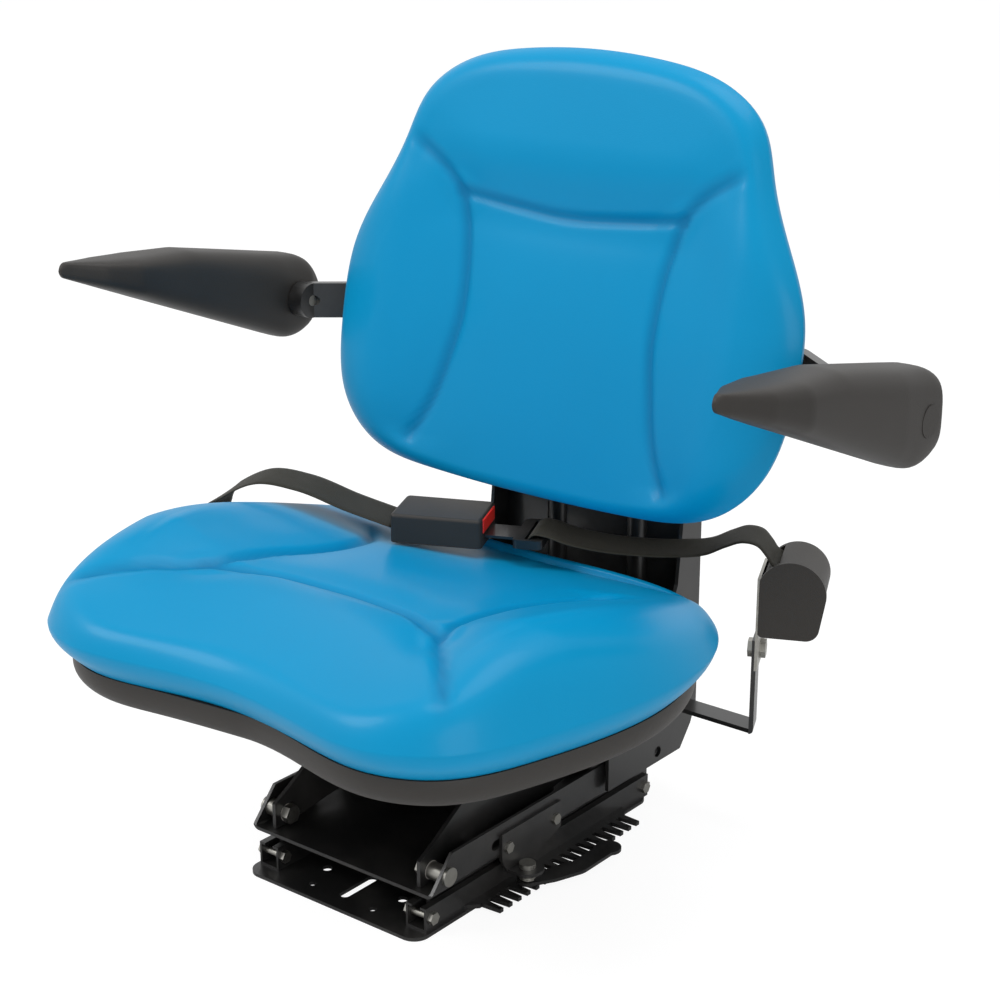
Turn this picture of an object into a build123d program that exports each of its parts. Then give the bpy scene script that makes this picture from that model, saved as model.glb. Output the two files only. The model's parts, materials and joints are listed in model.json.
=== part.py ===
from build123d import *
from math import cos, exp, radians, sin
import os

# Frame: X to the occupant's left, Y to the rear, Z up, origin at the centre of the base plate's underside.
# Sizes are millimetres.

# Fits shared by mating pieces
run_gap = 0.3
hole_gap = 0.1
bush_gap = 0.05
soft_gap = 0.4

# Base plate
plate_w = 190.0
plate_l = 324.0
plate_t = 3.0
plate_corner_r = 14.0
mount_dx = 84.0
mount_inset = 44.0
mount_hole_r = 4.5
pilot_dx = 67.0
pilot_inset = 17.0
pilot_hole_r = 3.2
slot_w = 9.0
slot_l = 42.0
slot_inset = 37.0

# Slide rails
rail_margin = 3.0
rail_w = 21.0
rail_h = 21.0
rail_wall = 2.0
rail_mouth = 9.0
rail_setback = 15.0
slide_travel = 72.0
upper_front = -132.0
upper_rear = 172.0
foot_w = 12.0
foot_t = 3.0
foot_lift = 2.5
web_t = 4.5
glide_l = 30.0
stop_r = 3.0
stop_inset = 7.0
stop_z = 14.0
stop_head_r = 5.5
stop_head_t = 4.0

# Toothed lock rack
rack_t = 3.5
rack_root_w = 9.0
rack_tooth_l = 18.0
rack_pitch = 12.0
rack_teeth = 17
rack_first_y = -84.0
tooth_root_w = 7.0
tooth_tip_w = 4.5

# Lock lever, stored clear of the rack
lever_reach = 12.0
lever_y = -40.0
lever_t = 3.0
lever_lift = 2.5
lever_hub_r = 9.0
lever_pin_r = 4.0
lever_pin_head_r = 7.0
lever_swing = 12.0
lever_arm_w = 9.0
handle_w = 17.0
handle_bend_r = 14.0
handle_neck_out = 11.0
handle_neck_y = -22.0
handle_out = 20.0
handle_front = 2.0
handle_rear = 47.0
handle_end_r = 11.0
pawl_w = 4.0
pawl_l = 10.0
pawl_bite = 8.5
pawl_gap_index = 7
clip_r = 6.0
clip_t = 1.4
lever_spring_r = 7.2
lever_spring_wire = 1.4
lever_spring_h = 7.5

# Suspension tray
tray_z = 34.0
tray_over = 7.0
tray_wall = 3.0
tray_bend_r = 3.0
tray_front = -147.0
tray_rear = 178.0
tray_top = 66.0
slant_z = 38.0
slant_y = -122.0
tray_slot_y = -55.0
tray_slot_z = 50.0
tray_slot_l = 34.0
tray_slot_w = 9.0

# Lever bracket on the tray
bracket_t = 3.0
bracket_front = -62.0
bracket_rear = 18.0
bracket_top = 58.0
shelf_front = -54.0
shelf_rear = -26.0
bracket_screw_r = 2.5
bracket_screw_z = 44.0
bracket_screw_inset = 8.0

# Suspension pivot
pivot_y = -127.0
pivot_z = 47.5
pivot_r = 5.0
pivot_head_r = 8.0
pivot_head_t = 2.5
pivot_nut_r = 8.5
pivot_nut_t = 7.0
pivot_bush_r = 8.0
spacer_r = 7.4
arm_inset = 21.0
swing_angle = 6.0

# Swing frame
arm_t = 3.5
heel_l = 14.0
arm_eye_top = 60.0
arm_rear = 160.0
arm_rear_z = 74.0
knee_set = 12.0
knee_z = 104.0
brow_lift = 4.0
pan_front = -55.0
pan_z = 172.0
pan_t = 3.0
wing_front = 80.0
wing_rear = 160.0
wing_tab_h = 32.0
frame_bolt_inset = 16.0
beam_y = 120.0
beam_d = 30.0
beam_z = 88.0
beam_h = 14.0

# Springs and bump stops between tray and swing frame
spring_x = 42.0
spring_y = 45.0
spring_r = 20.0
spring_wire_r = 3.5
spring_turns = 6
cup_r = 26.0
cup_wall = 2.5
cup_floor = 3.0
cup_h = 9.0
bump_r = 15.0
bump_top_r = 11.0
bump_h = 22.0

# Side plates and backrest plate
side_gap = 4.0
side_t = 3.5
side_front = 80.0
side_bottom = 43.0
side_knee_y = 191.0
side_heel_y = 207.0
side_heel_z = 63.0
side_rear = 215.0
side_rear_z = 82.0
side_top = 300.0
post_front_y = 190.0
post_foot_y = 166.0
post_bend_y = 180.0
post_bend_z = 204.0
side_hole_y = 155.0
side_hole_z = 53.0
side_hole_r = 5.0
frame_bolt_r = 4.0
frame_bolt_z = 156.0
back_plate_y = 205.0
back_plate_t = 3.5
back_plate_bottom = 76.0
back_plate_top = 440.0
bead_x = 45.0
bead_r = 11.0

# Seat shell and cushion
rim_bottom = 184.0
rim_top = 207.0
shell_wall = 4.0
shell_edge_r = 7.0
shell_draft = 1.0
well_w = 230.0
well_front = -80.0
well_rear = 78.0
well_corner_r = 24.0
seat_half_w = 247.0
seat_wide_y = -40.0
seat_front = -271.0
seat_recess = 16.0
seat_lobe_x = 143.0
seat_corner_x = 192.0
seat_corner_y = -249.0
seat_side_x = 229.0
seat_side_y = -176.0
seat_hip_x = 222.0
seat_hip_y = 32.0
seat_heel_x = 165.0
seat_heel_y = 83.0
seat_rear = 97.0
seat_bulge = 16.0
bulge_z = 234.0
shoulder_z = 270.0
shoulder_in = 6.0
crest_z = 300.0
crest_in = 46.0
plug_depth = 11.0
crown_y = -140.0
crown_z = 268.0
crown_slope = 0.175
front_roll = 900.0
bolster_rise = 28.0
bolster_y = -100.0
bolster_l = 190.0
bolster_x = 185.0
panel_x = 112.0
shell_bolt_r = 4.0
shell_bolt_x = 60.0
shell_bolt_inset = 20.0

# Backrest, in its own leaning plane: x across, v up along the lean, w forwards
lean = 13.6
back_y = 102.4
back_z = 290.0
back_half_w = 241.0
back_bottom = -4.0
back_top = 379.0
back_wide_v = 120.0
back_low_x = 190.0
back_low_v = 16.0
back_waist_x = 212.0
back_waist_v = 242.0
back_head_x = 174.0
back_head_v = 330.0
back_rear_w = -22.0
back_rear_in = 12.0
back_bulge_w = 15.0
back_bulge_in = 8.0
back_front_w = 30.0
back_front_in = 46.0
panel_depth = 50.0
panel_in = 52.0
panel_wall = 3.0
back_panel_w = 2.0
back_wing_w = 21.0
back_head_w = 15.0
back_wing_x = 180.0
boss_r = 11.0
boss_front_y = 152.0
boss_bore_y = 162.0
back_bolt_tip_y = 168.0
boss_x = 70.0
boss_low_z = 328.0
boss_high_z = 372.0
back_bolt_r = 4.0

# Armrests
bar_z = 410.0
bar_h = 33.0
bar_t = 8.0
bar_bend_x = 200.0
bar_bend_r = 25.0
bar_bolt_x = 66.0
bar_bolt_r = 4.0
hinge_y = 138.0
hinge_r = 5.0
hinge_boss_r = 16.5
hinge_boss_l = 16.0
arm_in_x = 301.0
arm_w = 58.0
arm_heel_r = 40.0
arm_tip_y = -117.0
arm_tip_z = 476.5
arm_tip_r = 7.0
arm_mid_y = 10.0
arm_mid_z = 459.0
arm_mid_r = 16.0
arm_bush_r = 8.0
arm_bush_l = 40.0
cap_r = 13.0
cap_t = 3.0
cap_sink = 1.0
stop_pin_r = 2.5
stop_pin_l = 8.0
stop_pin_at = 12.8
armrest_lift = 100.0

# Belt, in a turned frame: u along the belt outwards to the left, v across it, z up
belt_turn = 24.7
belt_y = 103.0
belt_w = 47.0
belt_t = 1.8
buckle_u = -77.0
buckle_l = 82.0
buckle_w = 56.0
buckle_h = 26.0
buckle_z = 242.0
buckle_wall = 3.0
buckle_corner_r = 5.0
buckle_edge_r = 3.0
tongue_slot_z = 8.0
button_w = 40.0
button_h = 12.0
button_l = 16.0
button_proud = 1.0
button_travel = 5.0
tongue_t = 2.4
tongue_w = 30.0
tongue_l = 28.0
tongue_head_w = 58.0
tongue_head_l = 26.0
tongue_head_t = 8.0
tongue_slot_l = 6.0
belt_bend_r = 2.5
belt_loop_low = 3.0
belt_loop_high = 6.5
belt_loop_l = 16.0
belt_route = ((36.0, 251.0), (96.0, 246.0), (160.0, 252.0), (188.0, 266.0), (205.0, 264.0), (214.0, 249.0),
              (221.0, 244.6), (229.0, 243.8))
tether_start_z = 254.0
tether_over = ((-160.0, 266.0), (-205.0, 281.0), (-243.0, 284.0), (-274.0, 269.0))
tether_down = ((-272.0, -14.0, 248.0), (-278.0, -8.0, 224.0), (-272.0, 12.0, 188.0), (-252.0, 70.0, 160.0))

# Retractor and its bracket, in the belt frame
strip_t = 4.0
strip_w = 24.0
strip_u = 200.0
strip_z = 86.0
strip_top = 174.0
strip_bolt_z = 163.0
frame_t = 2.5
cheek_t = 2.0
cheek_gap = 1.0
frame_foot_z = 152.0
frame_top_z = 236.0
cheek_u = 246.0
cheek_foot_z = 196.0
drum_u = 233.5
drum_z = 226.0
drum_r = 27.0
box_wall = 2.5
box_foot_u = 246.0
box_foot_z = 198.0
box_foot_r = 10.0
box_heel_z = 192.5
box_heel_r = 4.5
box_cap_t = 4.0
box_cap_lip = 2.0
roll_r = 16.0
spool_axle_r = 4.0
mouth_u = 213.0
mouth_z = 251.0
mouth_w = 17.0
mouth_h = 20.0
anchor_top = 146.0
anchor_z = 132.0
anchor_bolt_r = 5.0
anchor_head_r = 8.5
anchor_head_t = 4.5

os.makedirs("parts", exist_ok=True)


def along_x(sketch, x_start, x_end):
    return extrude(Plane.YZ.offset(x_start) * sketch, x_end - x_start)


def along_y(sketch, y_start, y_end):
    return extrude(Plane.XZ.offset(-y_end) * sketch, y_end - y_start)


def along_z(sketch, z_start, z_end):
    return extrude(Plane.XY.offset(z_start) * sketch, z_end - z_start)


def on_side(piece, side):
    if side > 0:
        return piece
    return mirror(piece, about=Plane.YZ)


def polygon(*points):
    return make_face(Polyline(*points, close=True))


def hexagon(radius):
    return RegularPolygon(radius, 6)


def both_sides(maker):
    return Compound(children=[on_side(solid, side) for side in (1, -1) for solid in maker().solids()])


def write(name, piece):
    export_step(piece, os.path.join("parts", name + ".step"))


# Base

mount_dy = plate_l - 2 * mount_inset
pilot_dy = plate_l - 2 * pilot_inset
slot_y = plate_l / 2 - slot_inset
rail_x = plate_w / 2 - rail_margin - rail_w / 2
rail_front = rail_setback - plate_l / 2
rail_rear = plate_l / 2
rail_floor = plate_t + rail_wall
rail_roof = plate_t + rail_h - rail_wall
rail_out_x = rail_x + rail_w / 2
rail_in_x = rail_x - rail_w / 2
stop_front_y = rail_front + stop_inset
stop_rear_y = rail_rear - stop_inset
glide_front = stop_front_y + stop_r + slide_travel + run_gap
glide_rear = stop_rear_y - stop_r - slide_travel - run_gap
tray_half = rail_out_x + tray_over
arm_x = tray_half - arm_inset
side_x = tray_half + side_gap
lever_x = tray_half + lever_reach
handle_x = lever_x + handle_out


def base_plate():
    outline = RectangleRounded(plate_w, plate_l, plate_corner_r)
    outline -= GridLocations(mount_dx, mount_dy, 2, 2) * Circle(mount_hole_r)
    outline -= GridLocations(pilot_dx, pilot_dy, 2, 2) * Circle(pilot_hole_r)
    outline -= GridLocations(0, 2 * slot_y, 1, 2) * SlotOverall(slot_l, slot_w, rotation=90)
    return extrude(outline, plate_t)


def lower_rail(side):
    middle = Pos(rail_x, plate_t + rail_h / 2)
    section = middle * Rectangle(rail_w, rail_h)
    section -= middle * Rectangle(rail_w - 2 * rail_wall, rail_h - 2 * rail_wall)
    section -= Pos(rail_x, plate_t + rail_h) * Rectangle(rail_mouth, 3 * rail_wall)
    rail = along_y(section, rail_front, rail_rear)
    for y in (stop_front_y, stop_rear_y):
        rail -= along_x(Pos(y, stop_z) * Circle(stop_r + hole_gap), rail_in_x - rail_w, rail_out_x + rail_w)
    return on_side(rail, side)


def rail_stop_bolts():
    solids = []
    for y in (stop_front_y, stop_rear_y):
        at = Pos(y, stop_z)
        bolt = along_x(at * Circle(stop_r), rail_in_x - stop_head_t, rail_out_x)
        bolt += along_x(at * hexagon(stop_head_r), rail_out_x, rail_out_x + stop_head_t)
        ring = hexagon(stop_head_r) - Circle(stop_r + hole_gap)
        nut = along_x(at * ring, rail_in_x - stop_head_t, rail_in_x)
        solids += [bolt, nut]
    return Compound(children=solids)


def lock_rack():
    root_x = rail_out_x + rack_root_w
    tip_x = root_x + rack_tooth_l
    half = rack_pitch / 2
    last_y = rack_first_y + (rack_teeth - 1) * rack_pitch
    strip = polygon((rail_out_x, rack_first_y - half - rack_root_w), (root_x, rack_first_y - half),
                    (root_x, last_y + half), (rail_out_x, last_y + half + rack_root_w))
    tooth = polygon((root_x - 1, -tooth_root_w / 2), (root_x, -tooth_root_w / 2), (tip_x, -tooth_tip_w / 2),
                    (tip_x, tooth_tip_w / 2), (root_x, tooth_root_w / 2), (root_x - 1, tooth_root_w / 2))
    for index in range(rack_teeth):
        strip += Pos(0, rack_first_y + index * rack_pitch) * tooth
    return along_z(strip, plate_t, plate_t + rack_t)


# Carriage

def upper_rail_solid():
    foot_z = rail_floor + foot_lift
    section = Pos(rail_x, foot_z + foot_t / 2) * Rectangle(foot_w, foot_t)
    section += Pos(rail_x, (foot_z + tray_z) / 2) * Rectangle(web_t, tray_z - foot_z)
    rail = along_y(section, upper_front, upper_rear)
    slot_h = 2 * (stop_r + run_gap)
    for y_start, y_end in ((upper_front - glide_l, glide_front), (glide_rear, upper_rear + glide_l)):
        slot = Pos((y_start + y_end) / 2, stop_z) * Rectangle(y_end - y_start, slot_h)
        rail -= along_x(slot, rail_in_x, rail_out_x)
    return rail


def upper_rail(side):
    return on_side(upper_rail_solid(), side)


def slide_glides():
    block_w = rail_w - 2 * rail_wall - 2 * run_gap
    block_h = rail_roof - rail_floor - 2 * run_gap
    block = Pos(rail_x, (rail_floor + rail_roof) / 2) * Rectangle(block_w, block_h)
    pair = along_y(block, glide_front, glide_front + glide_l)
    pair += along_y(block, glide_rear - glide_l, glide_rear)
    return pair - upper_rail_solid()


def suspension_tray():
    outer = polygon((-tray_half, tray_z), (tray_half, tray_z), (tray_half, tray_top), (-tray_half, tray_top))
    outer = fillet(outer.vertices().sort_by(Axis.Y)[:2], tray_bend_r + tray_wall)
    inner_half = tray_half - tray_wall
    floor_z = tray_z + tray_wall
    over = tray_top + tray_wall
    inner = polygon((-inner_half, floor_z), (inner_half, floor_z), (inner_half, over), (-inner_half, over))
    inner = fillet(inner.vertices().sort_by(Axis.Y)[:2], tray_bend_r)
    tray = along_y(outer - inner, tray_front, tray_rear)
    profile = polygon((tray_front, tray_z), (tray_rear, tray_z), (tray_rear, tray_top),
                      (slant_y, tray_top), (tray_front, slant_z))
    tray &= along_x(profile, -tray_half, tray_half)
    tray -= along_x(Pos(pivot_y, pivot_z) * Circle(pivot_r + hole_gap), -tray_half, tray_half)
    slot = Pos(tray_slot_y, tray_slot_z) * SlotOverall(tray_slot_l, tray_slot_w)
    tray -= along_x(slot, -tray_half, tray_half)
    for y in bracket_screw_ys():
        tray -= along_x(Pos(y, bracket_screw_z) * Circle(bracket_screw_r + hole_gap), 0, tray_half)
    return tray


def pivot_bolts():
    at = Pos(pivot_y, pivot_z)
    nut_end = arm_x - run_gap
    bolt = along_x(at * Circle(pivot_r), nut_end - pivot_nut_t, tray_half)
    bolt += along_x(at * Circle(pivot_head_r), tray_half, tray_half + pivot_head_t)
    nut = along_x(at * (hexagon(pivot_nut_r) - Circle(pivot_r + hole_gap)), nut_end - pivot_nut_t, nut_end)
    return Compound(children=[bolt, nut])


def pivot_spacers():
    ring = Circle(spacer_r) - Circle(pivot_r + hole_gap)
    return along_x(Pos(pivot_y, pivot_z) * ring, arm_x + arm_t + run_gap, tray_half - tray_wall)


def spring_cups():
    floor_z = tray_z + tray_wall
    cup = along_z(Circle(cup_r), floor_z, floor_z + cup_h)
    cup -= along_z(Circle(cup_r - cup_wall), floor_z + cup_floor, floor_z + cup_h)
    return Pos(spring_x, spring_y) * cup


def coil_spring(side):
    bottom = tray_z + tray_wall + cup_floor
    top = pan_z - pan_t
    height = top - bottom - 2 * spring_wire_r - run_gap
    path = Helix(height / spring_turns, height, spring_r)
    wire = Plane(path @ 0, z_dir=path % 0) * hexagon(spring_wire_r)
    coil = sweep(wire, path=path)
    return on_side(Pos(spring_x, spring_y, bottom + spring_wire_r) * coil, side)


def bump_stops():
    floor_z = tray_z + tray_wall
    cone = Cone(bump_r, bump_top_r, bump_h, align=(Align.CENTER, Align.CENTER, Align.MIN))
    return Pos(spring_x, beam_y, floor_z) * fillet(cone.edges().sort_by(Axis.Z)[-1], bump_top_r / 3)


lever_z = plate_t + rack_t + lever_lift
lever_top = lever_z + lever_t
shelf_z = lever_top + lever_spring_h + 2 * run_gap


def bracket_screw_ys():
    return (bracket_front + bracket_screw_inset, bracket_rear - bracket_screw_inset)


def lever_bracket():
    wall = polygon((bracket_front, bracket_top), (bracket_rear, bracket_top), (bracket_rear, tray_z),
                   (shelf_rear, shelf_z), (shelf_front, shelf_z), (bracket_front, tray_z))
    bracket = along_x(wall, tray_half, tray_half + bracket_t)
    shelf = polygon((tray_half, shelf_front), (lever_x, shelf_front), (lever_x, shelf_rear),
                    (tray_half, shelf_rear))
    shelf += Pos(lever_x, lever_y) * Circle((shelf_rear - shelf_front) / 2)
    bracket += along_z(shelf, shelf_z, shelf_z + bracket_t)
    bracket -= along_z(Pos(lever_x, lever_y) * Circle(lever_pin_r + hole_gap), shelf_z, shelf_z + bracket_t)
    for y in bracket_screw_ys():
        hole = Pos(y, bracket_screw_z) * Circle(bracket_screw_r + hole_gap)
        bracket -= along_x(hole, tray_half, tray_half + bracket_t)
    return bracket


def bracket_screws():
    solids = []
    for y in bracket_screw_ys():
        at = Pos(y, bracket_screw_z)
        screw = along_x(at * Circle(bracket_screw_r), tray_half - tray_wall, tray_half + bracket_t)
        screw += along_x(at * hexagon(2 * bracket_screw_r), tray_half + bracket_t,
                         tray_half + bracket_t + bracket_screw_r)
        solids.append(screw)
    return Compound(children=solids)


def lever_pin():
    at = Pos(lever_x, lever_y)
    pin = along_z(at * Circle(lever_pin_r), lever_z - clip_t - run_gap, shelf_z + bracket_t)
    pin += along_z(at * Circle(lever_pin_head_r), shelf_z + bracket_t, shelf_z + bracket_t + lever_pin_r)
    pin += along_z(at * Circle(clip_r), lever_z - clip_t - run_gap, lever_z - run_gap)
    return pin


def lever_spring():
    ring = Circle(lever_spring_r) - Circle(lever_spring_r - lever_spring_wire)
    foot = lever_top + run_gap
    return along_z(Pos(lever_x, lever_y) * ring, foot, foot + lever_spring_h)


# Lock lever

def lock_lever():
    hub = Pos(lever_x, lever_y)
    gap_y = rack_first_y + (pawl_gap_index + 0.5) * rack_pitch
    tip_x = rail_out_x + rack_root_w + rack_tooth_l
    pawl_in = tip_x - pawl_bite
    pawl = Pos(pawl_in + pawl_l / 2, gap_y) * Rectangle(pawl_l, pawl_w)
    arm = polygon((lever_x - lever_arm_w / 2, lever_y), (lever_x + lever_arm_w / 2, lever_y),
                  (pawl_in + pawl_l + 1, gap_y + pawl_w / 2), (pawl_in, gap_y + pawl_w / 2),
                  (pawl_in, gap_y - pawl_w / 2))
    open_turn = Pos(lever_x, lever_y) * Rot(0, 0, -lever_swing) * Pos(-lever_x, -lever_y)
    path = FilletPolyline((lever_x, lever_y), (lever_x + handle_neck_out, handle_neck_y),
                          (handle_x, handle_front), (handle_x, handle_rear), radius=handle_bend_r)
    blade = trace(path, line_width=handle_w)
    blade += Pos(handle_x, handle_rear) * Circle(handle_end_r)
    blade += hub * Circle(lever_hub_r)
    blade += open_turn * arm
    blade -= hub * Circle(lever_pin_r + bush_gap)
    lever = along_z(blade, lever_z, lever_top)
    return lever + along_z(open_turn * pawl, plate_t, lever_top)


# Seat frame

def swing_frame():
    front_foot = tray_z + tray_wall + soft_gap
    side = polygon((pivot_y - heel_l, front_foot), (pivot_y, front_foot), (arm_rear, arm_rear_z),
                   (arm_rear, pan_z), (pan_front, pan_z), (pan_front - knee_set, knee_z),
                   (slant_y, tray_top + brow_lift), (pivot_y - heel_l, arm_eye_top))
    arm = along_x(side, arm_x, arm_x + arm_t)
    arm -= along_x(Pos(pivot_y, pivot_z) * Circle(pivot_bush_r), arm_x, arm_x + arm_t)
    tab = polygon((wing_front, pan_z - wing_tab_h), (wing_rear, pan_z - wing_tab_h), (wing_rear, pan_z),
                  (wing_front, pan_z))
    arm += along_x(tab, side_x - arm_t, side_x)
    for y in frame_bolt_ys():
        arm -= along_x(Pos(y, frame_bolt_z) * Circle(frame_bolt_r + hole_gap), side_x - arm_t, side_x)
    half = arm_x + arm_t
    top = polygon((-half, pan_front), (half, pan_front), (half, wing_front), (side_x, wing_front),
                  (side_x, wing_rear), (-side_x, wing_rear), (-side_x, wing_front), (-half, wing_front))
    for x, y in shell_bolt_places():
        top -= Pos(x, y) * Circle(shell_bolt_r + hole_gap)
    frame = along_z(top, pan_z - pan_t, pan_z) + arm + on_side(arm, -1)
    beam = Pos(beam_y, beam_z + beam_h / 2) * (Rectangle(beam_d, beam_h) - Pos(0, pan_t) * Rectangle(
        beam_d - 2 * pan_t, beam_h))
    return frame + along_x(beam, -arm_x, arm_x)


def pivot_bushes():
    ring = Circle(pivot_bush_r) - Circle(pivot_r + bush_gap)
    return along_x(Pos(pivot_y, pivot_z) * ring, arm_x, arm_x + arm_t)


def frame_bolt_ys():
    return (wing_front + frame_bolt_inset, wing_rear - frame_bolt_inset)


def shell_bolt_places():
    ys = (pan_front + shell_bolt_inset, well_rear - shell_bolt_inset)
    return [(x, y) for x in (-shell_bolt_x, shell_bolt_x) for y in ys]


def side_plate(side):
    outline = polygon((side_front, side_bottom), (side_knee_y, side_bottom), (side_heel_y, side_heel_z),
                      (side_rear, side_rear_z), (side_rear, side_top), (post_front_y, side_top),
                      (post_bend_y, post_bend_z), (post_foot_y, pan_z), (side_front, pan_z))
    outline -= Pos(side_hole_y, side_hole_z) * Circle(side_hole_r)
    for y in frame_bolt_ys():
        outline -= Pos(y, frame_bolt_z) * Circle(frame_bolt_r + hole_gap)
    return on_side(along_x(outline, side_x, side_x + side_t), side)


def frame_bolts():
    solids = []
    for y in frame_bolt_ys():
        at = Pos(y, frame_bolt_z)
        inner = side_x - arm_t
        bolt = along_x(at * Circle(frame_bolt_r), inner - frame_bolt_r, side_x + side_t)
        bolt += along_x(at * hexagon(2 * frame_bolt_r), side_x + side_t, side_x + side_t + frame_bolt_r)
        ring = hexagon(2 * frame_bolt_r) - Circle(frame_bolt_r + hole_gap)
        nut = along_x(at * ring, inner - frame_bolt_r, inner)
        solids += [bolt, nut]
    return Compound(children=solids)


back_plate_rear = back_plate_y + back_plate_t


def backrest_plate():
    section = Pos(0, (back_plate_y + back_plate_rear) / 2) * Rectangle(2 * side_x, back_plate_t)
    for x in (-bead_x, bead_x):
        section += Pos(x, back_plate_rear) * Circle(bead_r)
    for x in (-bead_x, bead_x):
        section -= Pos(x, back_plate_rear) * Circle(bead_r - back_plate_t)
    section -= Pos(0, back_plate_rear + bead_r) * Rectangle(2 * side_x, 2 * bead_r)
    plate = along_z(section, back_plate_bottom, back_plate_top)
    for x, z in back_bolt_places():
        plate -= along_y(Pos(x, z) * Circle(back_bolt_r + hole_gap), back_plate_y, back_plate_rear)
    for x in (-bar_bolt_x, bar_bolt_x):
        plate -= along_y(Pos(x, bar_z) * Circle(bar_bolt_r + hole_gap), back_plate_y, back_plate_rear)
    return plate


# Seat shell and cushion

def seat_outline(grow):
    middle_y = (seat_front + seat_rear) / 2
    half_l = (seat_rear - seat_front) / 2
    right = [(seat_lobe_x * 0.6, seat_front + seat_recess * 0.3), (seat_lobe_x, seat_front),
             (seat_corner_x, seat_corner_y), (seat_side_x, seat_side_y), (seat_half_w, seat_wide_y),
             (seat_hip_x, seat_hip_y), (seat_heel_x, seat_heel_y)]
    left = [(-x, y) for x, y in reversed(right)]
    points = [(0, seat_front + seat_recess)] + right + [(0, seat_rear)] + left
    spread_x = (seat_half_w + grow) / seat_half_w
    spread_y = (half_l + grow) / half_l
    grown = [(x * spread_x, middle_y + (y - middle_y) * spread_y) for x, y in points]
    return make_face(Spline(*grown, periodic=True))


def seat_stack(levels):
    return loft([Pos(0, 0, z) * seat_outline(grow) for z, grow in levels])


def well(grow):
    width = well_w + 2 * grow
    length = well_rear - well_front + 2 * grow
    return Pos(0, (well_front + well_rear) / 2) * RectangleRounded(width, length, well_corner_r + grow)


def seat_shell():
    shell = seat_stack([(rim_bottom, -shell_edge_r), (rim_bottom + shell_edge_r, -shell_draft), (rim_top, 0)])
    shell -= seat_stack([(rim_bottom + shell_wall, -shell_edge_r - shell_wall),
                         (rim_bottom + shell_edge_r + shell_wall, -shell_wall - shell_draft),
                         (rim_top, -shell_wall)])
    shell += along_z(well(0), pan_z, rim_bottom + shell_wall)
    shell -= along_z(well(-shell_wall), pan_z + shell_wall, rim_bottom + shell_wall)
    for x, y in shell_bolt_places():
        shell -= along_z(Pos(x, y) * Circle(shell_bolt_r + hole_gap), pan_z, pan_z + shell_wall)
    return shell


def shell_bolts():
    solids = []
    for x, y in shell_bolt_places():
        at = Pos(x, y)
        low = pan_z - pan_t
        bolt = along_z(at * Circle(shell_bolt_r), low, pan_z + shell_wall)
        bolt += along_z(at * hexagon(2 * shell_bolt_r), low - shell_bolt_r, low)
        solids.append(bolt)
    return Compound(children=solids)


def crown(y):
    if y < crown_y:
        return crown_z - (y - crown_y) ** 2 / front_roll
    return crown_z - crown_slope * (y - crown_y)


def bolster(y):
    return bolster_rise * exp(-((y - bolster_y) / bolster_l) ** 2)


def top_section(y):
    low = crown(y)
    rise = bolster(y)
    edge = seat_half_w + seat_bulge
    right = [(panel_x / 2, low + 0.05 * rise), (panel_x, low + 0.3 * rise), (bolster_x, low + rise),
             (edge - 14, low + rise - 18), (edge + 60, low + rise - 90)]
    left = [(-x, z) for x, z in reversed(right)]
    points = left + [(0, low)] + right
    roof = crest_z + crest_in
    surface = Spline(*points)
    lid = Polyline(points[-1], (points[-1][0], roof), (points[0][0], roof), points[0])
    return Plane.XZ.offset(-y) * make_face(surface + lid)


def seat_cushion():
    body = seat_stack([(rim_top + soft_gap, 0), (bulge_z, seat_bulge), (shoulder_z, -shoulder_in),
                       (crest_z, -crest_in)])
    stations = (seat_front - 60, -240, crown_y, bolster_y, 20, 80, seat_rear + 60)
    body -= loft([top_section(y) for y in stations])
    plug = seat_outline(-shell_wall - shell_edge_r / 2)
    body += along_z(plug, rim_top - plug_depth, rim_top + soft_gap + 1)
    return body


# Backrest

back_plane = Plane(origin=(0, back_y, back_z), x_dir=(1, 0, 0),
                   z_dir=(0, -cos(radians(lean)), sin(radians(lean))))


def back_outline(grow):
    middle_v = (back_bottom + back_top) / 2
    half_l = (back_top - back_bottom) / 2
    right = [(back_low_x * 0.6, back_bottom + 3), (back_low_x, back_low_v),
             (back_half_w - 15, back_low_v + 38),
             (back_half_w, back_wide_v), (back_half_w - 3, back_waist_v - 58), (back_waist_x, back_waist_v),
             (back_head_x + 16, back_head_v - 40), (back_head_x, back_head_v),
             (back_head_x - 35, back_top - 21),
             (back_head_x - 104, back_top - 4)]
    left = [(-x, v) for x, v in reversed(right)]
    points = [(0, back_bottom)] + right + [(0, back_top)] + left
    spread_x = (back_half_w + grow) / back_half_w
    spread_v = (half_l + grow) / half_l
    grown = [(x * spread_x, middle_v + (v - middle_v) * spread_v) for x, v in points]
    return make_face(Spline(*grown, periodic=True))


def back_stack(levels):
    return loft([back_plane * Pos(0, 0, w) * back_outline(grow) for w, grow in levels])


def front_section(v, middle, wing):
    edge = back_half_w
    roof = back_front_w + 40
    right = [(back_wing_x * 0.33, middle), (back_wing_x * 0.62, middle + 0.15 * (wing - middle)),
             (back_wing_x, wing), (edge - 6, wing - 14), (edge + 40, wing - 60)]
    left = [(-x, w) for x, w in reversed(right)]
    points = left + [(0, middle)] + right
    lid = Polyline(points[-1], (points[-1][0], roof), (points[0][0], roof), points[0])
    face = make_face(Spline(*points) + lid)
    section_plane = Plane(origin=(0, v, 0), x_dir=(1, 0, 0), z_dir=(0, -1, 0))
    return back_plane * section_plane * face


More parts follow.
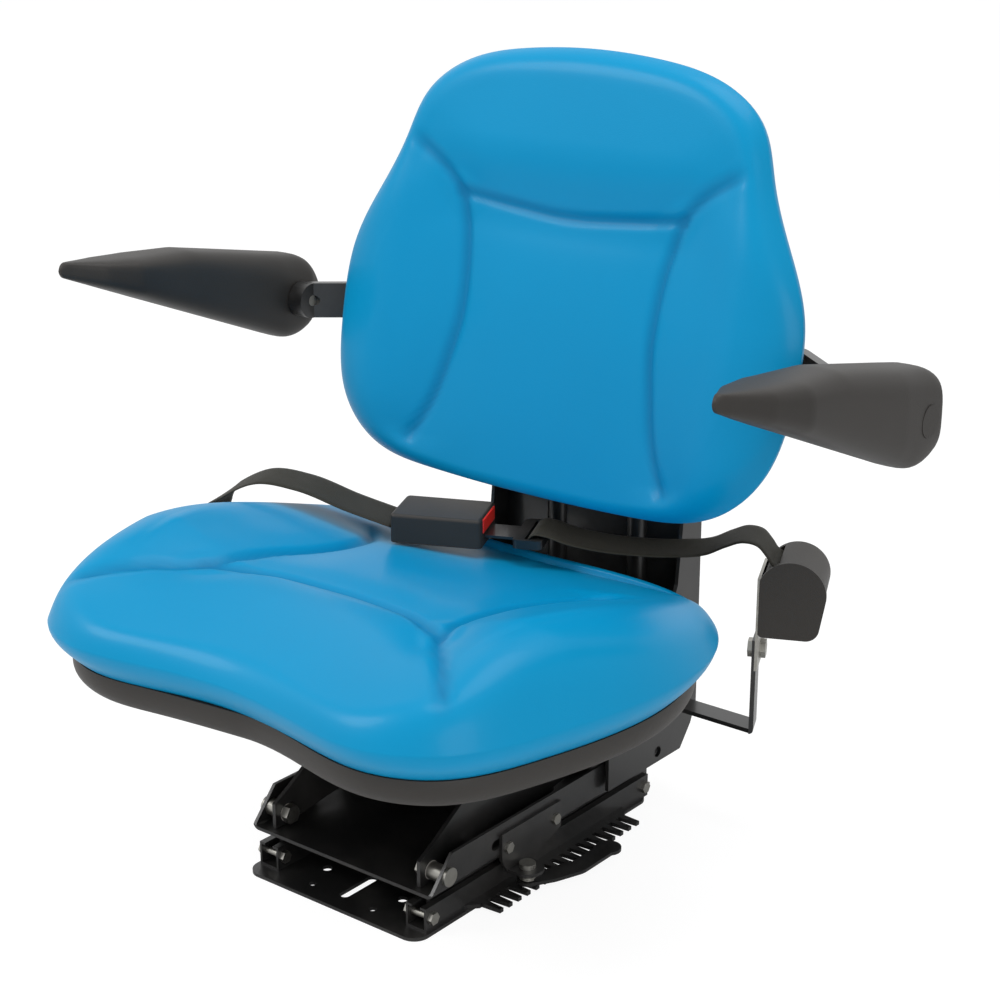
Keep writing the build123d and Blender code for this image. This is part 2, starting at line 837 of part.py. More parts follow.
def backrest_cushion():
    body = back_stack([(back_rear_w, -back_rear_in), (0, 0), (back_bulge_w, -back_bulge_in),
                       (back_front_w, -back_front_in)])
    stations = ((back_bottom - 60, back_panel_w, back_head_w), (back_low_v + 44, back_panel_w, back_wing_w),
                (back_wide_v + 30, back_panel_w, back_wing_w),
                (back_waist_v - 12, back_panel_w + 3, back_wing_w),
                (back_head_v - 40, back_head_w, back_head_w + 1),
                (back_top + 60, back_head_w, back_head_w + 1))
    return body - loft([front_section(v, middle, wing) for v, middle, wing in stations])


def back_bolt_places():
    return [(x, z) for x in (-boss_x, boss_x) for z in (boss_low_z, boss_high_z)]


def back_panel():
    front_w = back_rear_w - soft_gap
    panel = back_stack([(front_w, -back_rear_in), (-panel_depth, -panel_in)])
    hollow = back_stack([(front_w, -back_rear_in - panel_wall),
                         (panel_wall - panel_depth, -panel_in - panel_wall)])
    bosses = [along_y(Pos(x, z) * Circle(boss_r), boss_front_y, back_plate_y) for x, z in back_bolt_places()]
    panel += bosses
    panel -= hollow - bosses
    for x, z in back_bolt_places():
        panel -= along_y(Pos(x, z) * Circle(back_bolt_r + hole_gap), boss_bore_y, back_plate_y)
    return panel


def back_panel_bolts():
    solids = []
    for x, z in back_bolt_places():
        at = Pos(x, z)
        bolt = along_y(at * Circle(back_bolt_r), back_bolt_tip_y, back_plate_rear)
        bolt += along_y(at * hexagon(2 * back_bolt_r), back_plate_rear, back_plate_rear + back_bolt_r)
        solids.append(bolt)
    return Compound(children=solids)


# Armrests

bar_y = back_plate_rear + bar_t / 2


def armrest_bar():
    end_x = arm_in_x - run_gap - hinge_boss_l / 2
    path = FilletPolyline((-end_x, hinge_y), (-bar_bend_x, bar_y), (bar_bend_x, bar_y), (end_x, hinge_y),
                          radius=bar_bend_r)
    bar = along_z(trace(path, line_width=bar_t), bar_z - bar_h / 2, bar_z + bar_h / 2)
    boss_end = arm_in_x - run_gap
    boss = along_x(Pos(hinge_y, bar_z) * Circle(hinge_boss_r), boss_end - hinge_boss_l, boss_end)
    pin = along_x(stop_pin_place() * Circle(stop_pin_r), boss_end - hinge_boss_l, arm_in_x + stop_pin_l)
    end = boss + pin
    bar += end + on_side(end, -1)
    bore = along_x(Pos(hinge_y, bar_z) * Circle(hinge_r + hole_gap), boss_end - 3 * hinge_boss_l, boss_end)
    bar -= bore + on_side(bore, -1)
    for x in (-bar_bolt_x, bar_bolt_x):
        hole = Pos(x, bar_z) * Circle(bar_bolt_r + hole_gap)
        bar -= along_y(hole, back_plate_rear, back_plate_rear + bar_t)
    return bar


def stop_pin_place():
    return Pos(hinge_y, bar_z - stop_pin_at)


def bar_bolts():
    solids = []
    for x in (-bar_bolt_x, bar_bolt_x):
        at = Pos(x, bar_z)
        rear = back_plate_rear + bar_t
        bolt = along_y(at * Circle(bar_bolt_r), back_plate_y - bar_bolt_r, rear)
        bolt += along_y(at * hexagon(2 * bar_bolt_r), rear, rear + bar_bolt_r)
        ring = hexagon(2 * bar_bolt_r) - Circle(bar_bolt_r + hole_gap)
        nut = along_y(at * ring, back_plate_y - bar_bolt_r, back_plate_y)
        solids += [bolt, nut]
    return Compound(children=solids)


def armrest_bolts():
    at = Pos(hinge_y, bar_z)
    outer = arm_in_x + arm_bush_l
    inner = arm_in_x - run_gap - hinge_boss_l
    bolt = along_x(at * Circle(hinge_r), inner, outer)
    bolt += along_x(at * Circle(arm_bush_r), outer + run_gap, outer + run_gap + hinge_r)
    bolt += along_x(at * Circle(hinge_r), outer, outer + run_gap)
    return bolt


def arm_section(across, setback, inset):
    heel = Pos(hinge_y, bar_z) * Circle(arm_heel_r - inset)
    middle = Pos(arm_mid_y, arm_mid_z) * Circle(arm_mid_r - inset)
    drop = (arm_tip_z - arm_mid_z) * setback / (arm_mid_y - arm_tip_y)
    tip = Pos(arm_tip_y + setback, arm_tip_z - drop) * Circle(arm_tip_r - inset / 4)
    return Plane.YZ.offset(arm_in_x + across) * make_hull(heel.edges() + middle.edges() + tip.edges())


def armrest(side):
    out_x = arm_in_x + arm_w
    body = loft([arm_section(0, 62, 13), arm_section(8, 30, 5), arm_section(22, 4, 0),
                 arm_section(36, 4, 0), arm_section(50, 38, 1), arm_section(arm_w, 76, 6)])
    at = Pos(hinge_y, bar_z)
    body -= along_x(at * Circle(arm_bush_r + hole_gap), arm_in_x, arm_in_x + arm_bush_l)
    body -= along_x(at * Circle(cap_r + hole_gap), arm_in_x + arm_bush_l, out_x)
    groove = Circle(stop_pin_at + stop_pin_r + run_gap) - Circle(stop_pin_at - stop_pin_r - run_gap)
    reach = 1.5 * arm_heel_r
    half_turn = radians(armrest_lift / 2)
    full_turn = radians(armrest_lift)
    groove &= polygon((0, 0), (0, -reach), (reach * sin(half_turn) * 2, -reach * cos(half_turn)),
                      (reach * sin(full_turn), -reach * cos(full_turn)))
    groove += Pos(0, -stop_pin_at) * Circle(stop_pin_r + run_gap)
    groove += Rot(0, 0, armrest_lift) * Pos(0, -stop_pin_at) * Circle(stop_pin_r + run_gap)
    body -= along_x(at * groove, arm_in_x, arm_in_x + stop_pin_l + run_gap)
    return on_side(body, side)


def armrest_bush(side):
    ring = Circle(arm_bush_r) - Circle(hinge_r + bush_gap)
    return on_side(along_x(Pos(hinge_y, bar_z) * ring, arm_in_x, arm_in_x + arm_bush_l), side)


def armrest_cap(side):
    out_x = arm_in_x + arm_w
    cap = along_x(Pos(hinge_y, bar_z) * Circle(cap_r), out_x - cap_t - cap_sink, out_x - cap_sink)
    return on_side(cap, side)


# Belt

belt_frame = Plane(origin=(0, belt_y, 0), x_dir=(cos(radians(belt_turn)), sin(radians(belt_turn)), 0),
                   z_dir=(0, 0, 1))
slot_z = buckle_z + tongue_slot_z
button_z = slot_z + tongue_t / 2 + buckle_wall + button_h / 2
buckle_end = buckle_u + buckle_l / 2
head_u = buckle_end + tongue_l + tongue_head_l / 2


def belt_place(u, v):
    place = belt_frame.from_local_coords((u, v, 0))
    return (place.X, place.Y)


def buckle_body():
    body = Pos(buckle_u, 0, buckle_z + buckle_h / 2) * Box(buckle_l, buckle_w, buckle_h)
    body = fillet(body.edges().filter_by(Axis.Z), buckle_corner_r)
    body = fillet(body.faces().sort_by(Axis.Z)[-1].edges(), buckle_edge_r)
    body -= Pos(buckle_end, 0, slot_z) * Box(2 * tongue_l, tongue_w + 2 * run_gap, tongue_t + 2 * run_gap)
    body -= Pos(buckle_end, 0, button_z) * Box(2 * (button_l + button_travel), button_w + 2 * run_gap,
                                               button_h + 2 * run_gap)
    return belt_frame * body


def buckle_button():
    button = Pos(buckle_end + button_proud - button_l / 2, 0, button_z) * Box(button_l, button_w, button_h)
    return belt_frame * fillet(button.faces().sort_by(Axis.X)[-1].edges(), button_proud)


def belt_tongue():
    tongue = Pos(buckle_end + soft_gap, 0, slot_z) * Box(2 * tongue_l, tongue_w, tongue_t)
    head = Pos(head_u, 0, slot_z) * Box(tongue_head_l, tongue_head_w, tongue_head_t)
    head = fillet(head.edges().filter_by(Axis.Z), buckle_corner_r)
    tongue += head
    tongue -= Pos(head_u, 0, slot_z) * Box(tongue_slot_l, belt_w + buckle_wall, 2 * tongue_head_t)
    return belt_frame * tongue


def belt_webbing():
    over_z = slot_z + belt_loop_high
    path = FilletPolyline((head_u, slot_z - belt_loop_low), (head_u, over_z), (head_u + belt_loop_l, over_z),
                          *belt_route, radius=belt_bend_r)
    return belt_frame * along_y(trace(path, line_width=belt_t), -belt_w / 2, belt_w / 2)


def buckle_tether():
    across = belt_frame.y_dir
    start = buckle_u - buckle_l / 2 - soft_gap
    lead = ((start, tether_start_z),)
    over = [belt_frame.from_local_coords((u, 0, z)) for u, z in lead + tether_over]
    end_u = strip_u + strip_t + belt_t / 2 + hole_gap
    end_x, end_y = belt_place(end_u, 0)
    run = Vector(-across.X, across.Y, 0) * (strip_w / 2)
    end = Vector(-end_x, end_y, anchor_z)
    down = [Vector(*point) for point in tether_down]
    points = over + down + [end - run * 3, end - run, end + run]
    widths = [across] * 5 + [Vector(0, 1, 0)] * 3 + [Vector(0, 1, 1)] + [Vector(0, 0, 1)] * 3
    sections = []
    for index, (point, width) in enumerate(zip(points, widths)):
        before = points[max(index - 1, 0)]
        after = points[min(index + 1, len(points) - 1)]
        sections.append(Plane(origin=point, x_dir=width, z_dir=after - before) * Rectangle(belt_w, belt_t))
    return loft(sections, ruled=True) - anchor_bore()


def anchor_bore():
    hole = Pos(0, anchor_z) * Circle(anchor_bolt_r + hole_gap)
    return on_side(belt_frame * along_x(hole, strip_u - strip_t, strip_u + 4 * strip_t), -1)


# Retractor

strip_face = strip_u + strip_t
frame_face = strip_face + frame_t
cheek_in = belt_w / 2 + cheek_gap
cheek_out = cheek_in + cheek_t
box_half = cheek_out + box_wall


def belt_bracket(top, bolt_z):
    upright = Pos(strip_u + strip_t / 2, 0, (strip_z + top) / 2) * Box(strip_t, strip_w, top - strip_z)
    upright -= along_x(Pos(0, bolt_z) * Circle(anchor_bolt_r + hole_gap), strip_u, strip_face)
    front_x, front_y = belt_place(strip_face, -strip_w / 2)
    rear_x, rear_y = belt_place(strip_face, strip_w / 2)
    side = side_x + side_t
    leg = polygon((side, front_y), (front_x, front_y), (rear_x, rear_y), (side, rear_y))
    bracket = belt_frame * upright + along_z(leg, strip_z, strip_z + strip_t)
    heel = Vector((front_x + rear_x) / 2, (front_y + rear_y) / 2, strip_z)
    return fillet(min(bracket.edges(), key=lambda edge: (edge.center() - heel).length), strip_t)


def retractor_bracket():
    return belt_bracket(strip_top, strip_bolt_z)


def anchor_bracket():
    return on_side(belt_bracket(anchor_top, anchor_z), -1)


def strip_bolt(z, outer):
    at = Pos(0, z)
    bolt = along_x(at * Circle(anchor_bolt_r), strip_u - anchor_head_t, outer)
    bolt += along_x(at * hexagon(anchor_head_r), outer, outer + anchor_head_t)
    ring = hexagon(anchor_head_r) - Circle(anchor_bolt_r + hole_gap)
    nut = along_x(at * ring, strip_u - anchor_head_t, strip_u)
    return [belt_frame * bolt, belt_frame * nut]


def retractor_bolt():
    return Compound(children=strip_bolt(strip_bolt_z, frame_face))


def anchor_bolt():
    outer = strip_face + belt_t + 2 * hole_gap
    return Compound(children=[on_side(solid, -1) for solid in strip_bolt(anchor_z, outer)])


def box_profile(grow):
    heel_u = frame_face + soft_gap + box_heel_r
    circles = [Pos(drum_u, drum_z) * Circle(drum_r + grow),
               Pos(box_foot_u, box_foot_z) * Circle(box_foot_r + grow),
               Pos(heel_u, box_heel_z) * Circle(box_heel_r + grow)]
    return make_hull([edge for circle in circles for edge in circle.edges()])


def retractor_cover():
    cover = along_y(box_profile(0), -box_half, box_half)
    cover -= along_y(box_profile(-box_wall), -box_half, cheek_out)
    back_h = frame_top_z - box_heel_z
    back = Pos(frame_face, (box_heel_z + frame_top_z) / 2) * Rectangle(3 * box_heel_r, back_h)
    cover -= along_y(back, -cheek_out, cheek_out)
    mouth = Pos(mouth_u, mouth_z) * Rectangle(mouth_w, mouth_h)
    cover -= along_y(mouth, -cheek_in, cheek_in)
    return belt_frame * cover


def retractor_end_cap():
    outer_half = Pos(frame_face + 100, drum_z) * Rectangle(200, 200)
    return belt_frame * along_y(box_profile(box_cap_lip) & outer_half,
                                -box_half - box_cap_t, -box_half)


def retractor_frame():
    back = Pos((strip_face + frame_face) / 2, (frame_foot_z + frame_top_z) / 2) * Rectangle(
        frame_t, frame_top_z - frame_foot_z)
    frame = along_y(back, -cheek_out, cheek_out)
    cheek = polygon((strip_face, cheek_foot_z), (cheek_u, cheek_foot_z), (cheek_u, frame_top_z),
                    (strip_face, frame_top_z))
    cheek = fillet(cheek.vertices().sort_by(Axis.X)[-2:], box_foot_r)
    cheek -= Pos(drum_u, drum_z) * Circle(spool_axle_r + bush_gap)
    frame += along_y(cheek, cheek_in, cheek_out) + along_y(cheek, -cheek_out, -cheek_in)
    frame -= along_x(Pos(0, strip_bolt_z) * Circle(anchor_bolt_r + hole_gap), strip_face, frame_face)
    return belt_frame * frame


def retractor_spool():
    at = Pos(drum_u, drum_z)
    spool = along_y(at * Circle(roll_r), -belt_w / 2, belt_w / 2)
    return belt_frame * (spool + along_y(at * Circle(spool_axle_r), -cheek_out, cheek_out))


pieces = {
    "base_plate": base_plate(),
    "lower_rail_left": lower_rail(1),
    "lower_rail_right": lower_rail(-1),
    "rail_stop_bolts": both_sides(rail_stop_bolts),
    "lock_rack": lock_rack(),
    "upper_rail_left": upper_rail(1),
    "upper_rail_right": upper_rail(-1),
    "slide_glides": both_sides(slide_glides),
    "suspension_tray": suspension_tray(),
    "pivot_bolts": both_sides(pivot_bolts),
    "pivot_spacers": both_sides(pivot_spacers),
    "spring_cups": both_sides(spring_cups),
    "coil_spring_left": coil_spring(1),
    "coil_spring_right": coil_spring(-1),
    "bump_stops": both_sides(bump_stops),
    "lever_bracket": lever_bracket(),
    "bracket_screws": bracket_screws(),
    "lever_pin": lever_pin(),
    "lever_spring": lever_spring(),
    "lock_lever": lock_lever(),
    "swing_frame": swing_frame(),
    "pivot_bushes": both_sides(pivot_bushes),
    "side_plate_left": side_plate(1),
    "side_plate_right": side_plate(-1),
    "frame_bolts": both_sides(frame_bolts),
    "backrest_plate": backrest_plate(),
    "seat_shell": seat_shell(),
    "shell_bolts": shell_bolts(),
    "seat_cushion": seat_cushion(),
    "back_panel": back_panel(),
    "back_panel_bolts": back_panel_bolts(),
    "backrest_cushion": backrest_cushion(),
    "armrest_bar": armrest_bar(),
    "bar_bolts": bar_bolts(),
    "armrest_bolts": both_sides(armrest_bolts),
    "armrest_left": armrest(1),
    "armrest_right": armrest(-1),
    "armrest_bush_left": armrest_bush(1),
    "armrest_bush_right": armrest_bush(-1),
    "armrest_cap_left": armrest_cap(1),
    "armrest_cap_right": armrest_cap(-1),
    "buckle_body": buckle_body(),
    "buckle_button": buckle_button(),
    "belt_tongue": belt_tongue(),
    "belt_webbing": belt_webbing(),
    "buckle_tether": buckle_tether(),
    "retractor_bracket": retractor_bracket(),
    "retractor_bolt": retractor_bolt(),
    "anchor_bracket": anchor_bracket(),
    "anchor_bolt": anchor_bolt(),
    "retractor_cover": retractor_cover(),
    "retractor_end_cap": retractor_end_cap(),
    "retractor_frame": retractor_frame(),
    "retractor_spool": retractor_spool(),
}

for name, piece in pieces.items():
    write(name, piece)
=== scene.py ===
import json
import math
import bpy
import numpy as np
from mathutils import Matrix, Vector


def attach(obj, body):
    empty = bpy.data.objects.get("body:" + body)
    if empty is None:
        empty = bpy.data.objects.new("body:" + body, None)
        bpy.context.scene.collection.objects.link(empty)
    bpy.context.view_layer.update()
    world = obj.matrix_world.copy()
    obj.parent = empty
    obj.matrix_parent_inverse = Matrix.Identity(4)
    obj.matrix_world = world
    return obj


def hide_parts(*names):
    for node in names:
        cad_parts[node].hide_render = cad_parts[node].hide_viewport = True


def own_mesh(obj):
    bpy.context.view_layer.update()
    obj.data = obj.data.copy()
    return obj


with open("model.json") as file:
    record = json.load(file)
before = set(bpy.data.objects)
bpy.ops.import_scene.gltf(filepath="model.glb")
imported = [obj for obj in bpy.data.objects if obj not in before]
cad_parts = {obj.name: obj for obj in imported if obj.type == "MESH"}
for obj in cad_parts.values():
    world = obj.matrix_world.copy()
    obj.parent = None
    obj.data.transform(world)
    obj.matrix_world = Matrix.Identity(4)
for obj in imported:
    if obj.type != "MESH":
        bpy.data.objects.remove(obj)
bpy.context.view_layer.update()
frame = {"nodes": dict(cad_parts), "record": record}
scene = bpy.context.scene
scene.view_settings.view_transform = "Standard"
print("frame loaded,", len(frame["nodes"]), "nodes")


class Wire:  # one socket of a shader tree, so that sums on it add Math nodes
    def __init__(self, tree, out=None):
        self.tree = tree
        self.out = out

    def node(self, kind, sockets=None, out=0, **settings):
        made = self.tree.nodes.new(kind)
        stops = settings.pop("stops", None)
        for name, value in settings.items():
            setattr(made, name, value)
        if stops:
            ramp = made.color_ramp
            while len(ramp.elements) < len(stops):
                ramp.elements.new(0.5)
            for element, (place, tone) in zip(ramp.elements, stops):
                element.position = place
                element.color = (tone, tone, tone, 1)
        for name, value in (sockets or {}).items():
            if isinstance(value, Wire):
                self.tree.links.new(value.out, made.inputs[name])
            else:
                made.inputs[name].default_value = value
        return Wire(self.tree, made.outputs[out] if made.outputs else None)

    def maths(self, operation, first, second):
        return self.node("ShaderNodeMath", {0: first, 1: second}, operation=operation)

    def __add__(self, other):
        return self.maths("ADD", self, other)

    def __mul__(self, other):
        return self.maths("MULTIPLY", self, other)


def startMaterial(name):
    material = bpy.data.materials.new(name)
    material.use_nodes = True
    material.node_tree.nodes.clear()
    start = Wire(material.node_tree)
    return material, start, start.node("ShaderNodeTexCoord", out="Object")


def endMaterial(start, sockets):
    shader = start.node("ShaderNodeBsdfPrincipled", sockets)
    start.node("ShaderNodeOutputMaterial", {"Surface": shader})


def noise(start, point, scale, detail=2.0, rough=0.5):
    sockets = {"Vector": point, "Scale": scale, "Detail": detail, "Roughness": rough}
    return start.node("ShaderNodeTexNoise", sockets)


def mixTone(start, share, first, second):
    return start.node("ShaderNodeMix", {0: share, 6: first, 7: second}, out=2, data_type="RGBA")


def bumpFrom(start, height, strength, distance):
    return start.node("ShaderNodeBump", {"Height": height, "Strength": strength, "Distance": distance})


def grey(tone, warm=0.0):
    return (tone * (1 + warm), tone, tone * (1 - warm), 1)


# moulded vinyl skin of the two cushions, darker in its creases as painted shade
def vinylSkin():
    look = {"tone": (0.0, 0.265, 0.52, 1), "pale": (0.0, 0.29, 0.56, 1), "deep": (0.0, 0.15, 0.34, 1),
            "cloud": 7.0, "cloudDetail": 3.0, "grain": 820.0, "grainBump": 0.1, "grainDeep": 0.0004,
            "creaseShadeTint": 0.65, "rough": 0.33, "cloudRough": 0.1, "creaseRough": 0.12, "specular": 0.14,
            "coat": 0.05, "coatRough": 0.12}
    material, start, point = startMaterial("vinylSkin")
    cloud = noise(start, point, look["cloud"], look["cloudDetail"])
    # painted shade: the crease attribute darkens the blue along the pressed creases, and also roughens the
    # skin there
    crease = start.node("ShaderNodeAttribute", out="Fac", attribute_name="crease")
    pebble = start.node("ShaderNodeTexVoronoi", {"Vector": point, "Scale": look["grain"]})
    skin = mixTone(start, cloud, look["tone"], look["pale"])
    endMaterial(start, {
        "Base Color": mixTone(start, crease * look["creaseShadeTint"], skin, look["deep"]),
        "Roughness": cloud * look["cloudRough"] + crease * look["creaseRough"] + look["rough"],
        "Specular IOR Level": look["specular"], "Coat Weight": look["coat"],
        "Coat Roughness": look["coatRough"],
        "Normal": bumpFrom(start, pebble, look["grainBump"], look["grainDeep"])})
    return material


# gloss black coat on pressed steel, with a little unevenness and dust
def blackCoat():
    look = {"tone": grey(0.011), "dust": grey(0.034, 0.05), "dustScale": 16.0, "dustDetail": 5.0,
            "dustBreak": 0.6, "film": [(0.45, 0.0), (0.8, 1.0)], "orangePeel": 340.0, "peelBump": 0.06,
            "peelDeep": 0.0006, "rough": 0.24, "dustRough": 0.22, "coat": 0.25, "coatRough": 0.12}
    material, start, point = startMaterial("blackCoat")
    dust = noise(start, point, look["dustScale"], look["dustDetail"], look["dustBreak"])
    film = start.node("ShaderNodeValToRGB", {0: dust}, stops=look["film"])
    peel = noise(start, point, look["orangePeel"])
    endMaterial(start, {
        "Base Color": mixTone(start, film, look["tone"], look["dust"]),
        "Roughness": dust * look["dustRough"] + look["rough"], "Coat Weight": look["coat"],
        "Coat Roughness": look["coatRough"],
        "Normal": bumpFrom(start, peel, look["peelBump"], look["peelDeep"])})
    return material


# dull zinc on bolts, nuts and the belt's steel
def zincPlate():
    look = {"tone": (0.46, 0.455, 0.43, 1), "stain": (0.26, 0.25, 0.215, 1), "cloud": 90.0,
            "cloudDetail": 4.0, "cloudBreak": 0.65, "scratch": 900.0, "scratchBump": 0.08,
            "scratchDeep": 0.0003, "rough": 0.26, "cloudRough": 0.2, "scratchRough": 0.08}
    material, start, point = startMaterial("zincPlate")
    cloud = noise(start, point, look["cloud"], look["cloudDetail"], look["cloudBreak"])
    scratch = noise(start, point, look["scratch"])
    endMaterial(start, {
        "Base Color": mixTone(start, cloud, look["tone"], look["stain"]), "Metallic": 1.0,
        "Roughness": cloud * look["cloudRough"] + scratch * look["scratchRough"] + look["rough"],
        "Normal": bumpFrom(start, scratch, look["scratchBump"], look["scratchDeep"])})
    return material


# moulded dark plastic with a spark-eroded grain
def grainPlastic(name, tone, rough, grain):
    look = {"warm": 0.1, "lift": 1.5, "cloud": 11.0, "cloudDetail": 4.0, "cloudRough": 0.16,
            "specular": 0.28, "grainBump": 0.16, "grainDeep": 0.0004}
    material, start, point = startMaterial(name)
    cloud = noise(start, point, look["cloud"], look["cloudDetail"])
    pit = start.node("ShaderNodeTexVoronoi", {"Vector": point, "Scale": grain})
    low, high = grey(tone, look["warm"]), grey(tone * look["lift"], look["warm"])
    endMaterial(start, {
        "Base Color": mixTone(start, cloud, low, high), "Roughness": cloud * look["cloudRough"] + rough,
        "Specular IOR Level": look["specular"],
        "Normal": bumpFrom(start, pit, look["grainBump"], look["grainDeep"])})
    return material


# woven belt, ribbed along its length
def wovenBelt():
    look = {"tone": (0.014, 0.0135, 0.010, 1), "pale": (0.036, 0.034, 0.025, 1), "ribs": 26.0, "picks": 620.0,
            "slant": 6.0, "ribShare": 0.3, "pickShare": 0.2, "fuzz": 60.0, "fuzzDetail": 3.0,
            "weaveTint": 0.7, "fuzzTint": 0.3, "rough": 0.55, "fuzzRough": 0.2, "sheen": 0.03,
            "specular": 0.2, "weaveBump": 0.3, "weaveDeep": 0.0005}
    material, start, point = startMaterial("wovenBelt")
    place = start.node("ShaderNodeUVMap", uv_map="weave")
    across = start.node("ShaderNodeSeparateXYZ", {0: place}, out="X")
    along = start.node("ShaderNodeSeparateXYZ", {0: place}, out="Y")
    rib = start.maths("SINE", across * (look["ribs"] * 2 * math.pi), 0.0)
    lean = start.maths("PINGPONG", across * look["ribs"], 0.5)
    pick = start.maths("SINE", along * (look["picks"] * 2 * math.pi) + lean * look["slant"], 0.0)
    weave = rib * look["ribShare"] + pick * look["pickShare"] + 0.5
    fuzz = noise(start, point, look["fuzz"], look["fuzzDetail"])
    tint = weave * look["weaveTint"] + fuzz * look["fuzzTint"]
    endMaterial(start, {
        "Base Color": mixTone(start, tint, look["tone"], look["pale"]),
        "Roughness": fuzz * look["fuzzRough"] + look["rough"], "Sheen Weight": look["sheen"],
        "Specular IOR Level": look["specular"],
        "Normal": bumpFrom(start, weave, look["weaveBump"], look["weaveDeep"])})
    return material


# one colour, a little clouded
def plainFinish(name, tone, rough, speck):
    look = {"shadeDown": 0.8, "detail": 4.0, "cloudRough": 0.15, "bump": 0.08, "bumpDeep": 0.0004}
    material, start, point = startMaterial(name)
    cloud = noise(start, point, speck, look["detail"])
    dark = tuple(part * look["shadeDown"] for part in tone[:3]) + (1,)
    endMaterial(start, {
        "Base Color": mixTone(start, cloud, tone, dark), "Roughness": cloud * look["cloudRough"] + rough,
        "Normal": bumpFrom(start, cloud, look["bump"], look["bumpDeep"])})
    return material


finishes = {
    "blue_vinyl": vinylSkin(),
    "black_steel": blackCoat(),
    "zinc_steel": zincPlate(),
    "spring_steel": plainFinish("springSteel", grey(0.022), 0.3, 120.0),
    "dark_plastic": grainPlastic("darkPlastic", 0.026, 0.4, 1100.0),
    "bush_plastic": plainFinish("bushPlastic", grey(0.42, 0.06), 0.4, 60.0),
    "black_rubber": plainFinish("stopRubber", grey(0.016), 0.6, 200.0),
    "black_webbing": wovenBelt(),
    "red_plastic": plainFinish("redButton", (0.95, 0.03, 0.02, 1), 0.3, 90.0),
}
armrestSkin = grainPlastic("armrestSkin", 0.021, 0.42, 760.0)
for part in frame["record"]["subparts"]:
    cadNode = frame["nodes"][part["node"]]
    if not cadNode.material_slots:
        cadNode.data.materials.append(None)
    for place in cadNode.material_slots:
        place.link = "OBJECT"
        place.material = finishes[part["material_slot"]]
for name in ("armrest_cap_left", "armrest_cap_right"):
    frame["nodes"][name].material_slots[0].material = armrestSkin
frame["nodes"]["belt_tongue"].material_slots[0].material = finishes["black_steel"]
print("finishes on", len(frame["nodes"]), "nodes")


# curves through a few points
def closedSpline(points, count):
    knots = np.array(points, float)
    size = len(knots)
    step = np.linalg.norm(np.roll(knots, -1, 0) - knots, axis=1)
    matrix = np.zeros((size, size))
    known = np.zeros_like(knots)
    for i in range(size):
        j = (i + 1) % size
        a, b = 1 / step[i - 1], 1 / step[i]
        matrix[i, i - 1] += a
        matrix[i, i] += 2 * (a + b)
        matrix[i, j] += b
        known[i] = 3 * ((knots[i] - knots[i - 1]) * a * a + (knots[j] - knots[i]) * b * b)
    slope = np.linalg.solve(matrix, known)
    ends = np.concatenate([[0], np.cumsum(step)])
    place = np.linspace(0, ends[-1], count, endpoint=False)
    i = np.clip(np.searchsorted(ends, place, side="right") - 1, 0, size - 1)
    return hermite(knots, slope, i, (i + 1) % size, step[i], (place - ends[i]) / step[i])


def hermite(knots, slope, i, j, step, t):
    t = t[:, None]
    step = step[:, None]
    return ((2 * t ** 3 - 3 * t ** 2 + 1) * knots[i] + (t ** 3 - 2 * t ** 2 + t) * step * slope[i]
            + (3 * t ** 2 - 2 * t ** 3) * knots[j] + (t ** 3 - t ** 2) * step * slope[j])


def openSpline(points, count):
    knots = np.array(points, float)
    step = np.linalg.norm(knots[1:] - knots[:-1], axis=1)
    ends = np.concatenate([[0], np.cumsum(step)])
    slope = np.gradient(knots, ends, axis=0)
    place = np.linspace(0, ends[-1], count)
    i = np.clip(np.searchsorted(ends, place, side="right") - 1, 0, len(step) - 1)
    return hermite(knots, slope, i, i + 1, step[i], (place - ends[i]) / step[i])


def lineDistance(x, y, line):
    best = np.full(x.shape, np.inf)
    for (ax, ay), (bx, by) in zip(line[:-1], line[1:]):
        dx, dy = bx - ax, by - ay
        t = np.clip(((x - ax) * dx + (y - ay) * dy) / (dx * dx + dy * dy), 0, 1)
        best = np.minimum(best, np.hypot(x - ax - t * dx, y - ay - t * dy))
    return best


def easeStep(low, high, value):
    t = np.clip((value - low) / (high - low), 0, 1)
    return t * t * (3 - 2 * t)


def softMin(first, second, blend):
    share = np.clip(0.5 + 0.5 * (second - first) / blend, 0, 1)
    return second * (1 - share) + first * share - blend * share * (1 - share)


def mirrorPoints(points):
    return [(-x, y) for x, y in reversed(points)]


# a closed skin over rings of points, with a pole at each end
def ringMesh(name, rings, firstPole, lastPole, material, shade=None):
    rings = np.array(rings)
    count, around, _ = rings.shape
    points = np.concatenate([rings.reshape(-1, 3), [firstPole, lastPole]])
    faces = []
    for i in range(count - 1):
        for j in range(around):
            k = (j + 1) % around
            faces.append((i * around + j, i * around + k, (i + 1) * around + k, (i + 1) * around + j))
    low, high = count * around, count * around + 1
    for j in range(around):
        k = (j + 1) % around
        faces.append((low, k, j))
        faces.append((high, (count - 1) * around + j, (count - 1) * around + k))
    tones = None if shade is None else np.concatenate([np.ravel(shade), [0, shade[-1][0]]])
    return meshPiece(name, points, faces, material, tones)


def meshPiece(name, points, faces, material, shade=None):
    mesh = bpy.data.meshes.new(name)
    mesh.from_pydata([tuple(point) for point in points], [], faces)
    mesh.materials.append(material)
    mesh.polygons.foreach_set("use_smooth", [True] * len(mesh.polygons))
    if shade is not None:
        # the crease tones become the point attribute that the vinyl skin reads as painted shade
        layer = mesh.attributes.new("crease", "FLOAT", "POINT")
        layer.data.foreach_set("value", np.array(shade, np.float32))
    mesh.update()
    piece = bpy.data.objects.new(name, mesh)
    scene.collection.objects.link(piece)
    return piece


# what the two cushions share: a grown outline, three crease lines, and a face sunk along them
pressed = {"sideSteps": 60, "crossSteps": 40, "crowding": 1.35, "fadeIn": (0.006, 0.036), "lineTop": 1.15,
           "valleyTop": 1.3, "around": 240, "rings": 84, "wingBlend": 0.25}


